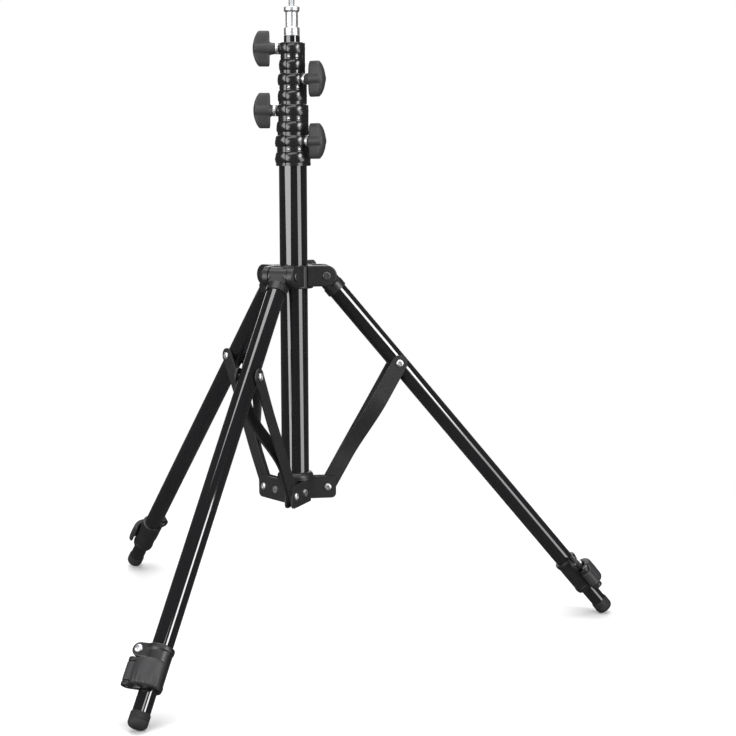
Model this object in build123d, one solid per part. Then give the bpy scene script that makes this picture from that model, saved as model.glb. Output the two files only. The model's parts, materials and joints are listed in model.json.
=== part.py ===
from build123d import *
import os
from math import asin, cos, hypot, radians, sin, sqrt

os.makedirs("parts", exist_ok=True)

# Telescopic lighting stand: three folding legs, five column sections, four clamp
# collars with T-knobs and a 5/8 inch spigot. Millimetres, +Z up. The origin is on
# the floor, on the column's axis; the right leg points along +X.

# --- Driving dimensions -------------------------------------------------------
leg_azimuths = {"front": -120, "right": 0, "rear": 120}

# Column tubes, from the outer base tube to the thin top section.
tube_radii = [14.0, 12.5, 11.0, 9.5, 8.15]
column_wall = 1.2
slide_gap = 0.3
base_tube_bottom = 149.0
bush_rise = 18.0
bush_flange = 6.0
bush_shank = 8.0
running_gap = 0.05

# Collars that clamp one column section to the next.
collar_bottom = 474.9
collar_pitch = 30.4
collar_height = 30.0
collar_wall = 3.7
collar_lip = 8.0
knob_rise = 24.3
bulge_rises = (8.1, 24.3)
recess_rise = 16.2
knob_azimuths = [-43, 176, -43, 174]

# T-knobs.
stud_radius = 3.0
ferrule_radius = 5.6
ferrule_length = 2.6
knob_stem_radius = 6.3
knob_head_start = 22.0
knob_head_end = 39.0
knob_head_height = 35.0
knob_head_thickness = 10.0

# Spigot.
spigot_radius = 7.95
spigot_neck_radius = 6.25
spigot_stud_radius = 3.175
riser_top = 602.6
spigot_shoulder = 610.6
spigot_flange = 627.1
spigot_end = 631.0
spigot_stud_end = 642.5

# Legs.
leg_angle = 39.85
leg_length = 470.9
hub_pivot_radius = 31.44
leg_tube_radius = 9.4
leg_tube_wall = 1.1
leg_tube_start = 14.0
leg_tube_end = 417.0
leg_eye_radius = 10.0
leg_eye_half_width = 9.6
lower_tube_radius = 8.0
lower_tube_start = 150.0
foot_radius = 8.9
foot_round = 5.0
foot_start = 457.5

# Braces between the spreader and the legs.
brace_pin_distance = 117.76
brace_width = 16.4
brace_thickness = 2.0
spreader_pivot_radius = 34.2
spreader_pivot_height = 145.0
spreader_offset = 11.45
pin_radius = 2.5
pin_head_radius = 4.0
pin_head_height = 2.0

# Spreader at the foot of the column.
plate_thickness = 1.8
plate_bottom = 133.6
plate_height = 23.0
plate_reach = 43.0
ring_radius = 18.5
ring_height = 7.8
wrap_end = 152
rivet_along = 12.5
rivet_radius = 1.5
rivet_head_radius = 3.7
slot_height = 6.0
slot_rise = 7.2

# Hub that slides on the column.
hub_radius = 19.6
hub_bore = 14.95
hub_height = 23.2
ear_gap = 10.5
ear_thickness = 6.3
ear_radius = 10.6
hub_bolt_radius = 3.0
open_pivot_radius = 4.15
hub_knob_azimuth = 56
hub_knob_start = 33.0
hub_knob_end = 46.0
hub_knob_height = 28.0

# Flip-lever clamps on the legs, measured along the leg from the hub pivot.
clamp_start = 398.0
clamp_end = 437.0
clamp_radius = 12.0
ear_screw_along = 404.0
ear_screw_out = 16.4
lever_pin_along = (412.6, 438.6)
lever_pin_out = 17.0
lever_pin_up = 8.0
lever_half_width = 12.0

# --- Values worked out from the driving dimensions ---------------------------------
angle = radians(leg_angle)
hub_pivot_height = (
    (leg_length - foot_round) * cos(angle)
    + (foot_radius - foot_round) * sin(angle)
    + foot_round
)
tube_bores = [radius - column_wall for radius in tube_radii]
collar_radii = [radius + collar_wall for radius in tube_radii[:4]]
pin_radius_out = hub_pivot_radius + brace_pin_distance * sin(angle)
pin_height = hub_pivot_height - brace_pin_distance * cos(angle)
brace_run = pin_radius_out - spreader_pivot_radius
brace_rise = pin_height - spreader_pivot_height
brace_length = hypot(brace_run, brace_rise)
brace_lean = asin(brace_run / brace_length)
leg_bore = leg_tube_radius - leg_tube_wall

# Along the leg: X is up and out, Y is clockwise round the stand, Z runs to the foot.
leg_frame = Plane(
    origin=(hub_pivot_radius, 0, hub_pivot_height),
    x_dir=(cos(angle), 0, sin(angle)),
    z_dir=(sin(angle), 0, -cos(angle)),
)
# Along the brace: Y is counter-clockwise round the stand, Z runs up to the leg.
brace_frame = Plane(
    origin=(spreader_pivot_radius, 0, spreader_pivot_height),
    x_dir=(cos(brace_lean), 0, -sin(brace_lean)),
    z_dir=(sin(brace_lean), 0, cos(brace_lean)),
)

# --- Helpers ------------------------------------------------------------------
upright = (Align.CENTER, Align.CENTER, Align.MIN)


def rod(radius, start, end):
    return Pos(0, 0, start) * Cylinder(radius, end - start, align=upright)


def pipe(outer, inner, start, end):
    return rod(outer, start, end) - rod(inner, start - 1, end + 1)


def cross_rod(radius, start, end):
    """A rod along Y."""
    return Pos(0, (start + end) / 2, 0) * Rot(90, 0, 0) * Cylinder(radius, end - start)


def outward_rod(radius, start, end):
    """A rod along X."""
    return Pos((start + end) / 2, 0, 0) * Rot(0, 90, 0) * Cylinder(radius, end - start)


def block(low, high):
    size = [b - a for a, b in zip(low, high)]
    middle = [(a + b) / 2 for a, b in zip(low, high)]
    return Pos(*middle) * Box(*size)


def button(radius, height):
    """A domed head standing on the XY plane."""
    head = rod(radius, 0, height)
    return fillet(head.edges().sort_by(Axis.Z)[-1], height * 0.7)


def turned(azimuth, shape):
    return Rot(0, 0, azimuth) * shape


def group(shapes):
    solids = [solid for shape in shapes for solid in shape.solids()]
    return Compound(children=solids)


def save(name, shape):
    export_step(shape, f"parts/{name}.step")


# --- Column -------------------------------------------------------------------
def collar_base(index):
    return collar_bottom + index * collar_pitch


def tube_top(index):
    if index == 4:
        return riser_top
    return collar_base(index) + collar_height - collar_lip


def knob_hole(index, radius):
    hole = outward_rod(radius, 0, 30)
    return turned(knob_azimuths[index], Pos(0, 0, collar_base(index) + knob_rise) * hole)


def bush_bottom(index):
    return base_tube_bottom + bush_rise * index


def column_tube(index):
    start = base_tube_bottom if index == 0 else bush_bottom(index) + bush_flange
    shape = pipe(tube_radii[index], tube_bores[index], start, tube_top(index))
    if index < 4:
        shape -= knob_hole(index, stud_radius + 0.3)
    return shape


def guide_bush(index):
    """Plastic glide that closes the foot of a sliding section."""
    start = bush_bottom(index)
    flange = rod(tube_bores[index - 1] - running_gap, start, start + bush_flange)
    shank = rod(tube_bores[index] - running_gap, start, start + bush_flange + bush_shank)
    hollow = rod(tube_bores[index] - 2.5, start - 1, start + bush_flange)
    return flange + shank - hollow


def collar_outline(radius):
    """Half section of a collar with two rounded rings, as (radius, height) edges."""
    waist = radius - 1.5
    edge = radius - 0.7
    low, high = bulge_rises
    reach = 5.2
    top = collar_height
    points = [
        (edge, 0.0),
        (edge, low - reach),
        (radius + 0.3, low),
        (edge, low + reach),
        (waist, low + reach + 0.3),
        (waist, high - reach - 0.3),
        (edge, high - reach),
        (radius + 0.3, high),
        (edge, top - 0.5),
        (edge - 0.5, top),
    ]
    lower_ring = ThreePointArc(points[1], points[2], points[3])
    upper_ring = ThreePointArc(points[6], points[7], points[8])
    return (
        Polyline((0, 0), points[0], points[1])
        + lower_ring
        + Polyline(*points[3:7])
        + upper_ring
        + Polyline(points[8], points[9], (0, top), (0, 0))
    )


def collar(index):
    radius = collar_radii[index]
    outer = tube_radii[index]
    inner = tube_radii[index + 1]
    outline = make_face(Plane.XZ * collar_outline(radius))
    body = revolve(outline, Axis.Z)
    rib = block((radius - 4, -2.6, 0.4), (radius + 0.2, 2.6, collar_height - 0.4))
    body += turned(-12, rib)
    boss = Pos(0, 0, knob_rise) * outward_rod(ferrule_radius, 6, radius + 0.5)
    body += turned(knob_azimuths[index], boss)
    body -= rod(outer + running_gap, -1, collar_height - collar_lip)
    body -= rod(inner + slide_gap, -1, collar_height + 1)
    slit = block((inner, -0.45, -1), (radius + 4, 0.45, collar_height + 1))
    body -= turned(-121, slit)
    for azimuth in (-111, -72):
        body -= turned(azimuth, Pos(0, 0, recess_rise) * outward_rod(1.25, outer + 0.4, 30))
    body = Pos(0, 0, collar_base(index)) * body
    return body - knob_hole(index, stud_radius + running_gap)


def collar_screws(index):
    """Two small round-head screws in the recess between the collar's rings."""
    radius = collar_radii[index]
    screws = []
    for azimuth in (-111, -72):
        shank = outward_rod(1.2, tube_radii[index] + 0.5, radius - 1.3)
        head = Pos(radius - 1.3, 0, 0) * Rot(0, 90, 0) * button(1.9, 1.3)
        place = Pos(0, 0, collar_base(index) + recess_rise)
        screws.append(turned(azimuth, place * (shank + head)))
    return group(screws)


def t_knob(head_start, head_end, head_height, stem_start):
    """T-shaped grip along X, with the stud's blind hole."""
    half = head_height / 2
    shoulder = head_end - 5.5
    outline = make_face(
        Plane.XZ
        * (
            Polyline((shoulder, half), (head_start, half), (head_start, -half), (shoulder, -half))
            + ThreePointArc((shoulder, -half), (head_end, 0), (shoulder, half))
        )
    )
    head = extrude(outline, knob_head_thickness / 2, both=True)
    head = fillet(head.edges(), 1.6)
    barrel = outward_rod(knob_stem_radius, head_start - 0.5, head_end - 2.5)
    head += fillet(barrel.edges().sort_by(Axis.X)[-1], 2.0)
    stem = Pos(stem_start, 0, 0) * Rot(0, 90, 0)
    stem *= Cone(ferrule_radius, knob_stem_radius, head_start - stem_start + 0.5, align=upright)
    return head + stem - outward_rod(stud_radius + running_gap, 0, head_end - 6)


def knob_stud(tip, ferrule_start, stem_start, head_end):
    shaft = outward_rod(stud_radius, tip, head_end - 6.5)
    return shaft + outward_rod(ferrule_radius, ferrule_start, stem_start)


def place_knob(index, shape):
    height = collar_base(index) + knob_rise
    return turned(knob_azimuths[index], Pos(0, 0, height) * shape)


def column_knob(index):
    stem_start = collar_radii[index] + 0.8 + ferrule_length
    shape = t_knob(knob_head_start, knob_head_end, knob_head_height, stem_start)
    return place_knob(index, shape)


def column_knob_stud(index):
    ferrule_start = collar_radii[index] + 0.8
    stem_start = ferrule_start + ferrule_length
    tip = tube_radii[index + 1] + slide_gap
    return place_knob(index, knob_stud(tip, ferrule_start, stem_start, knob_head_end))


def spigot():
    shape = rod(tube_bores[4] - running_gap, riser_top - 26, riser_top)
    shape += rod(spigot_radius, riser_top, spigot_shoulder)
    shape += rod(spigot_neck_radius, spigot_shoulder, spigot_flange)
    flange = rod(spigot_radius, spigot_flange, spigot_end)
    shape += chamfer(flange.edges().sort_by(Axis.Z)[-1], 0.8)
    stud = rod(spigot_stud_radius, spigot_end, spigot_stud_end)
    return shape + chamfer(stud.edges().sort_by(Axis.Z)[-1], 0.6)


def foot_plug():
    """Plastic plug that closes the foot of the base tube."""
    plug = rod(tube_bores[0] - running_gap, base_tube_bottom, base_tube_bottom + 9)
    plug -= rod(tube_bores[0] - 3, base_tube_bottom + 2, base_tube_bottom + 10)
    return plug


def column_ring():
    start = plate_bottom + plate_height + 0.3
    ring = rod(ring_radius, start, start + ring_height)
    ring = fillet(ring.edges().sort_by(Axis.Z)[-1], 5.0)
    return ring - rod(tube_radii[0] + running_gap, start - 1, start + ring_height + 1)


# --- Spreader -------------------------------------------------------------------
def wing(start, inner_face):
    """A flat plate along X, rounded at its outer corners."""
    middle = (start + plate_reach) / 2
    outline = Rectangle(plate_reach - start, plate_height)
    outer_corners = outline.vertices().sort_by(Axis.X)[-2:]
    outline = fillet(outer_corners, 5.0)
    place = Pos(middle, inner_face + plate_thickness, plate_bottom + plate_height / 2)
    return place * extrude(Plane.XZ * outline, plate_thickness)


def cross_hole(along, radius, start, end):
    """A rod across an arm, at the height of the brace pivots."""
    return Pos(along, 0, spreader_pivot_height) * cross_rod(radius, start, end)


arm_side = tube_radii[0] + running_gap
arm_inner = 2 * spreader_offset - arm_side


def spreader_plate():
    """One arm's outer wing, the wall round the tube, and the next arm's inner wing."""
    wall = pipe(arm_side + plate_thickness, arm_side, plate_bottom, plate_bottom + plate_height)
    far = radians(wrap_end)
    corners = [(0, 0), (0, 40), (-40, 40), (40 * cos(far), 40 * sin(far))]
    sector = extrude(make_face(Polyline(*corners, close=True)), plate_height)
    shape = wall & (Pos(0, 0, plate_bottom) * sector)
    shape += wing(0, arm_side)
    inner_face = arm_inner - plate_thickness
    shape += turned(120, wing(sqrt(arm_side**2 - inner_face**2), inner_face))
    slot = Pos(14, 0, plate_bottom + slot_rise) * Box(12, 13, slot_height)
    shape -= turned(121, slot)
    for azimuth in (0, 120):
        shape -= turned(azimuth, cross_hole(rivet_along, rivet_radius, 0, 30))
        shape -= turned(azimuth, cross_hole(spreader_pivot_radius, pin_radius, 0, 30))
    head_room = cross_hole(rivet_along, rivet_head_radius + 0.1, 0, inner_face)
    return shape - turned(120, head_room)


def spreader_bolts():
    """Each arm's hollow rivet under the tube, and the bolt that its brace turns on."""
    low = arm_inner - plate_thickness
    high = arm_side + plate_thickness
    pieces = []
    for azimuth in leg_azimuths.values():
        rivet = cross_hole(rivet_along, rivet_radius, low - 1, high + 1)
        rivet += cross_hole(rivet_along, rivet_head_radius, low - 1.6, low)
        rivet += cross_hole(rivet_along, rivet_head_radius, high, high + 1.6)
        rivet -= cross_hole(rivet_along, 0.9, low - 2, high + 2)
        bolt = cross_hole(spreader_pivot_radius, pin_radius, low - 1, high + 1)
        place = Pos(spreader_pivot_radius, 0, spreader_pivot_height)
        head = Rot(90, 0, 0) * button(pin_head_radius, pin_head_height)
        nut = Rot(-90, 0, 0) * button(pin_head_radius, pin_head_height)
        bolt += place * Pos(0, low, 0) * head
        bolt += place * Pos(0, high, 0) * nut
        pieces += [turned(azimuth, rivet), turned(azimuth, bolt)]
    return group(pieces)


# --- Braces -------------------------------------------------------------------
bar_side = leg_tube_radius + 0.4 + brace_thickness / 2
bar_lay = brace_thickness / 2 + 0.3
jog_start = 54.0
jog_end = 99.0


def brace_bar(side):
    """One pressed bar: beside the leg tube at the pin, beside its twin at the spreader."""
    low = spreader_offset + side * bar_lay
    high = side * bar_side
    end_round = brace_width / 2
    middle = [
        (low, -end_round),
        (low, jog_start),
        (high, jog_end),
        (high, brace_length + end_round),
    ]
    half = brace_thickness / 2
    left = [(across - half, along) for across, along in middle]
    right = [(across + half, along) for across, along in reversed(middle)]
    ribbon = extrude(
        make_face(Plane.YZ * Polyline(*left, *right, close=True)), brace_width, both=True
    )
    stadium = Plane.XZ * SlotCenterToCenter(brace_length, brace_width, rotation=90)
    outline = Pos(0, 0, brace_length / 2) * extrude(stadium, 30, both=True)
    bar = ribbon & outline
    for along in (0, brace_length):
        bar -= Pos(0, 0, along) * cross_rod(pin_radius + running_gap, -30, 30)
    return bar


def brace(azimuth):
    bars = [turned(azimuth, brace_frame.location * brace_bar(side)) for side in (1, -1)]
    return group(bars)


# --- Hub ----------------------------------------------------------------------
hub_start = hub_pivot_height - 12.8
hub_end = hub_start + hub_height
ear_outer = ear_gap + ear_thickness


def ear(side):
    """One of the two ears that hold a leg's eye, at radius along +X."""
    low, high = sorted((side * ear_gap, side * ear_outer))
    arm = block(
        (12, low, hub_pivot_height - ear_radius),
        (hub_pivot_radius, high, hub_pivot_height + ear_radius),
    )
    eye = Pos(hub_pivot_radius, 0, hub_pivot_height) * cross_rod(ear_radius, low, high)
    shape = arm + eye
    outer_face = shape.faces().sort_by(Axis.Y)[-1 if side > 0 else 0]
    return fillet(outer_face.edges(), 1.4)


def hub():
    body = rod(hub_radius, hub_start, hub_end)
    body = fillet(body.edges().filter_by(GeomType.CIRCLE), 1.2)
    boss = Pos(0, 0, hub_pivot_height) * outward_rod(7.2, 0, hub_knob_start - 9)
    for azimuth in leg_azimuths.values():
        for side in (-1, 1):
            body += turned(azimuth, ear(side))
    body += turned(hub_knob_azimuth, boss)
    body -= rod(hub_bore, hub_start - 1, hub_end + 1)
    for azimuth in leg_azimuths.values():
        place = Pos(hub_pivot_radius, 0, hub_pivot_height)
        hole = place * cross_rod(hub_bolt_radius + running_gap, -30, 30)
        body -= turned(azimuth, hole)
    stud_hole = outward_rod(stud_radius + running_gap, 0, 40)
    return body - turned(hub_knob_azimuth, Pos(0, 0, hub_pivot_height) * stud_hole)


def hub_bolts():
    pieces = []
    for azimuth in leg_azimuths.values():
        bolt = cross_rod(hub_bolt_radius, -ear_outer, ear_outer)
        bolt += Pos(0, -ear_outer, 0) * Rot(90, 0, 0) * button(4.2, 1.2)
        bolt += Pos(0, ear_outer, 0) * Rot(-90, 0, 0) * button(4.2, 1.2)
        place = Pos(hub_pivot_radius, 0, hub_pivot_height)
        pieces.append(turned(azimuth, place * bolt))
    return group(pieces)


def place_hub_knob(shape):
    return turned(hub_knob_azimuth, Pos(0, 0, hub_pivot_height) * shape)


hub_ferrule_start = hub_knob_start - 8.6
hub_stem_start = hub_ferrule_start + ferrule_length


# --- Legs ---------------------------------------------------------------------
def leg_eye(azimuth):
    """Moulded end of a leg: the eye on the hub bolt, the sleeve and the plug in the tube."""
    eye = cross_rod(leg_eye_radius, -leg_eye_half_width, leg_eye_half_width)
    neck = block(
        (-leg_eye_half_width, -leg_eye_half_width, 0),
        (leg_eye_half_width, leg_eye_half_width, leg_tube_start - 1),
    )
    shape = eye + (neck & rod(11.4, 0, leg_tube_start))
    shape += rod(10.7, leg_tube_start - 2, leg_tube_start + 6)
    shape -= pipe(leg_tube_radius + running_gap, leg_bore - running_gap, leg_tube_start, 30)
    shape += rod(leg_bore - running_gap, leg_tube_start, leg_tube_start + 20)
    bolt = hub_bolt_radius + running_gap if azimuth == leg_azimuths["front"] else open_pivot_radius
    return shape - cross_rod(bolt, -20, 20)


def leg_tube():
    shape = pipe(leg_tube_radius, leg_bore, leg_tube_start, leg_tube_end)
    pin = Pos(0, 0, brace_pin_distance) * cross_rod(pin_radius + running_gap, -20, 20)
    return shape - pin


def lower_tube():
    return pipe(lower_tube_radius, lower_tube_radius - 1.2, lower_tube_start, foot_start + 8)


def leg_foot():
    """Rubber cap, rounded where it meets the floor."""
    cap = rod(foot_radius, foot_start, leg_length)
    cap = fillet(cap.edges().sort_by(Axis.Z)[-1], foot_round)
    cap = chamfer(cap.edges().sort_by(Axis.Z)[0], 0.6)
    return cap - rod(lower_tube_radius + running_gap, foot_start - 1, foot_start + 8)


def knuckle(start, end):
    eye = Pos(lever_pin_up, lever_pin_out, 0) * rod(5.5, start, end)
    web = block((2.5, 6, start), (lever_pin_up, lever_pin_out, end))
    return eye + web


def leg_clamp():
    """Moulded clamp: sleeve, split ear with its screw hole, and the lever's two knuckles."""
    sleeve = rod(clamp_radius, clamp_start, clamp_end)
    sleeve = fillet(sleeve.edges().filter_by(GeomType.CIRCLE), 1.6)
    lobe = block((0, 0, ear_screw_along - 6.6), (9, ear_screw_out, ear_screw_along + 6.6))
    tip = Pos(4.5, ear_screw_out, ear_screw_along) * Rot(0, 90, 0) * Cylinder(6.6, 9)
    first, last = lever_pin_along
    shape = sleeve + fillet((lobe + tip).edges().group_by(Axis.X)[-1], 1.0)
    shape += knuckle(first, first + 4) + knuckle(last - 4, last)
    shape -= rod(leg_tube_radius + running_gap, clamp_start - 1, leg_tube_end + 0.4)
    shape -= rod(lower_tube_radius + slide_gap, leg_tube_end, clamp_end + 2)
    shape -= block((3.6, 8.0, clamp_start - 4), (5.0, 26, ear_screw_along + 7.2))
    shape -= Pos(4.5, ear_screw_out, ear_screw_along) * Rot(0, 90, 0) * Cylinder(2.1, 12)
    return shape - Pos(lever_pin_up, lever_pin_out, 0) * rod(1.6, first - 1, last + 1)


def leg_fasteners():
    """Brace pin, clamp screw and lever pin of one leg."""
    reach = leg_tube_radius + 0.4 + brace_thickness + 0.25
    pin = cross_rod(pin_radius, -reach, reach)
    pin += Pos(0, reach, 0) * Rot(-90, 0, 0) * button(pin_head_radius, pin_head_height)
    pin += Pos(0, -reach, 0) * Rot(90, 0, 0) * button(pin_head_radius, pin_head_height)
    screw = Pos(4.5, 0, 0) * Rot(0, 90, 0) * Cylinder(2.0, 9)
    screw += Pos(9, 0, 0) * Rot(0, 90, 0) * button(4.0, 2.4)
    first, last = lever_pin_along
    lever_pin = Pos(lever_pin_up, lever_pin_out, 0) * rod(1.5, first + 0.2, last - 0.2)
    place = Pos(0, ear_screw_out, ear_screw_along)
    return group([Pos(0, 0, brace_pin_distance) * pin, place * screw, lever_pin])


def arc_plate(inner, outer, start_angle, end_angle, start, end):
    """A curved plate round the leg's axis, between two angles from up-and-out."""
    middle = (start_angle + end_angle) / 2
    angles = [radians(value) for value in (start_angle, middle, end_angle)]
    low = [(inner * cos(value), inner * sin(value)) for value in angles]
    high = [(outer * cos(value), outer * sin(value)) for value in angles]
    outline = (
        ThreePointArc(*low)
        + Line(low[2], high[2])
        + ThreePointArc(*reversed(high))
        + Line(high[0], low[0])
    )
    return Pos(0, 0, start) * extrude(make_face(outline), end - start)


def clamp_lever():
    """Flip lever: barrel on its pin, neck, and the curved grip with ribs."""
    first, last = lever_pin_along
    low = first + 4.5
    high = last - 4.5
    middle = (first + last) / 2
    hinge = Pos(lever_pin_up, lever_pin_out, 0)
    barrel = hinge * rod(5.6, low, high)
    neck = arc_plate(13.2, 20.2, 38, 62, low, high)
    grip = arc_plate(12.9, 20.4, -60, 42, middle - lever_half_width, middle + lever_half_width)
    grip = fillet(grip.edges().filter_by(Axis.Z), 2.0)
    shape = barrel + neck + grip
    return shape - hinge * rod(1.6, low - 1, high + 1)


def on_leg(azimuth, shape):
    placed = [leg_frame.location * solid for solid in shape.solids()]
    return group([turned(azimuth, solid) for solid in placed])


# --- Write every piece --------------------------------------------------------
save("base_tube", column_tube(0))
save("base_plug", foot_plug())
save("column_ring", column_ring())
save("spreader_bolts", spreader_bolts())
for arm_name, arm_azimuth in leg_azimuths.items():
    save(f"spreader_plate_{arm_name}", turned(arm_azimuth, spreader_plate()))

for section in range(1, 5):
    save(f"riser_{section}", column_tube(section))
    save(f"riser_bush_{section}", guide_bush(section))

for section in range(4):
    number = section + 1
    save(f"collar_{number}", collar(section))
    save(f"collar_screws_{number}", collar_screws(section))
    save(f"knob_{number}", column_knob(section))
    save(f"knob_stud_{number}", column_knob_stud(section))

save("spigot", spigot())

save("hub", hub())
save("hub_bolts", hub_bolts())
hub_grip = t_knob(hub_knob_start, hub_knob_end, hub_knob_height, hub_stem_start)
save("hub_knob", place_hub_knob(hub_grip))
hub_stud = knob_stud(hub_bore + 0.1, hub_ferrule_start, hub_stem_start, hub_knob_end)
save("hub_knob_stud", place_hub_knob(hub_stud))

for leg_name, leg_turn in leg_azimuths.items():
    save(f"brace_{leg_name}", brace(leg_turn))
    save(f"leg_eye_{leg_name}", on_leg(leg_turn, leg_eye(leg_turn)))
    save(f"leg_tube_{leg_name}", on_leg(leg_turn, leg_tube()))
    save(f"leg_clamp_{leg_name}", on_leg(leg_turn, leg_clamp()))
    save(f"leg_fasteners_{leg_name}", on_leg(leg_turn, leg_fasteners()))
    save(f"clamp_lever_{leg_name}", on_leg(leg_turn, clamp_lever()))
    save(f"lower_tube_{leg_name}", on_leg(leg_turn, lower_tube()))
    save(f"leg_foot_{leg_name}", on_leg(leg_turn, leg_foot()))
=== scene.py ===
"""Looks of a telescopic lighting stand: finishes, moulded pieces, fasteners and a plain studio."""

import json
from math import cos, degrees, pi, radians, sin

import bmesh
import bpy
from mathutils import Matrix, Vector


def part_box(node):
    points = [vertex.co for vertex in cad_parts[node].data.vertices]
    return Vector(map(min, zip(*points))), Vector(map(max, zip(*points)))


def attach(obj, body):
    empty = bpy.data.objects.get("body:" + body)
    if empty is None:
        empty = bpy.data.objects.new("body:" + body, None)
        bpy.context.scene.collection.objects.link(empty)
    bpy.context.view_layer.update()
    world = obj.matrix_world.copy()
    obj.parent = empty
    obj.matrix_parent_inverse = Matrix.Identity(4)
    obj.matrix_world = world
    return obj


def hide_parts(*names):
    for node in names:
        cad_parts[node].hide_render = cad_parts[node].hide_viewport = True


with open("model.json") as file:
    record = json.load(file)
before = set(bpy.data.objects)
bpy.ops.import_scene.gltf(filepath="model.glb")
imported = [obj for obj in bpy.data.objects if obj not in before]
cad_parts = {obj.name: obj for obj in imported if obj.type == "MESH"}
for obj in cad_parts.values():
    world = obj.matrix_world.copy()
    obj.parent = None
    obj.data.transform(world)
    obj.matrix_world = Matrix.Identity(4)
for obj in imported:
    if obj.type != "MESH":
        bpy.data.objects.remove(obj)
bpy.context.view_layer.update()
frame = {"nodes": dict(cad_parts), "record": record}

bl_info = {
    "name": "Lighting stand looks",
    "version": (1, 0, 0),
    "blender": (4, 5, 0),
    "location": "View3D > Sidebar > Stand",
    "description": "Builds the moulded pieces, fasteners and finishes of a telescopic lighting stand",
    "category": "Object",
}

JOINTS = {joint["name"]: joint for joint in frame["record"]["behaviour"]["joints"]}
LEGS = ("front", "right", "rear")
MM = 0.001
ON_AXIS = 0.0001 * MM  # a turned shape starts and ends this close to its axis


# --- Settings ---
def colour_setting(name, description, default):
    return bpy.props.FloatVectorProperty(
        name=name, description=description, default=default, subtype="COLOR", size=3, min=0, max=1
    )


def length_setting(name, description, default):
    return bpy.props.FloatProperty(
        name=name, description=description, default=default, unit="LENGTH", precision=5
    )


def turn_setting(name, description, angle):
    return bpy.props.FloatProperty(
        name=name, description=description, default=radians(angle), unit="ROTATION"
    )


class StandColours(bpy.types.PropertyGroup):
    """Colours of the stand's finishes."""

    tube: colour_setting("Tube coat", "Gloss coat on the column and legs", (0.005, 0.005, 0.0055))
    moulding: colour_setting("Moulding", "Glossy collars", (0.008, 0.008, 0.0085))
    satin: colour_setting("Satin moulding", "Hub, eyes, ring, leg clamps", (0.0075, 0.0075, 0.008))
    grip: colour_setting("Grips", "Knobs and flip levers", (0.021, 0.021, 0.0225))
    glide: colour_setting("Glides", "Bushes and plugs inside the tubes", (0.03, 0.03, 0.03))
    powder: colour_setting("Powder coat", "Braces and spreader", (0.0065, 0.0065, 0.0068))
    steel: colour_setting("Bright steel", "Pins, screws and ferrules", (0.74, 0.74, 0.76))
    oxide: colour_setting("Black oxide", "Hub bolts", (0.13, 0.13, 0.135))
    chrome: colour_setting("Chrome", "Spigot", (0.6, 0.61, 0.625))
    rubber: colour_setting("Rubber", "Feet", (0.012, 0.012, 0.012))
    dust: colour_setting("Dust", "Pale dust in the rubber and on low edges", (0.2, 0.19, 0.175))
    floor: colour_setting("Floor", "Studio floor", (0.86, 0.86, 0.86))


class StandSizes(bpy.types.PropertyGroup):
    """Sizes of details that only the looks need."""

    knob_swell: length_setting("Knob swell", "How far a knob's middle stands out", 0.9 * MM)
    rib_height: length_setting("Rib height", "Height of the grip ribs on a lever", 0.7 * MM)
    rib_pitch: turn_setting("Rib pitch", "Turn from one grip rib to the next", 12.0)
    thread_pitch: length_setting("Thread pitch", "Pitch of the spigot's stud", 1.27 * MM)
    thread_depth: length_setting("Thread depth", "Depth of the stud's thread", 0.55 * MM)
    mould_grain: length_setting("Mould detail", "Smallest detail of a moulded piece", 0.42 * MM)
    camera_distance: length_setting("Camera distance", "From the column's axis", 1.5707)
    camera_height: length_setting("Camera height", "Above the floor", 0.4635)
    camera_bearing: turn_setting("Camera bearing", "Where the camera stands, round the column", 5.97)
    camera_heading: turn_setting("Camera heading", "Turn of the lens towards +X", 8.70)
    camera_pitch: turn_setting("Camera pitch", "Tilt of the lens below level", 7.01)
    camera_roll: turn_setting("Camera roll", "Turn round the lens axis", -0.15)
    camera_lens: bpy.props.FloatProperty(
        name="Lens", description="Focal length in millimetres", default=75.9, unit="CAMERA"
    )


# --- Shader building ---
class Signal:
    """A shader socket that takes part in Python arithmetic through Math nodes."""

    def __init__(self, finish, socket):
        self.finish = finish
        self.socket = socket

    def calculate(self, operation, *values):
        settings = {"operation": operation}
        node = self.finish.node("ShaderNodeMath", settings, dict(enumerate(values)))
        return Signal(self.finish, node.outputs[0])

    def __add__(self, other):
        return self.calculate("ADD", self, other)

    def __sub__(self, other):
        return self.calculate("SUBTRACT", self, other)

    def __rsub__(self, other):
        return self.calculate("SUBTRACT", other, self)

    def __mul__(self, other):
        return self.calculate("MULTIPLY", self, other)

    __radd__ = __add__
    __rmul__ = __mul__

    def between(self, low, high):
        """0 below low, 1 above high, smooth between them."""
        inputs = {"Value": self, "From Min": low, "From Max": high}
        settings = {"interpolation_type": "SMOOTHSTEP"}
        node = self.finish.node("ShaderNodeMapRange", settings, inputs)
        return Signal(self.finish, node.outputs["Result"])


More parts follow.
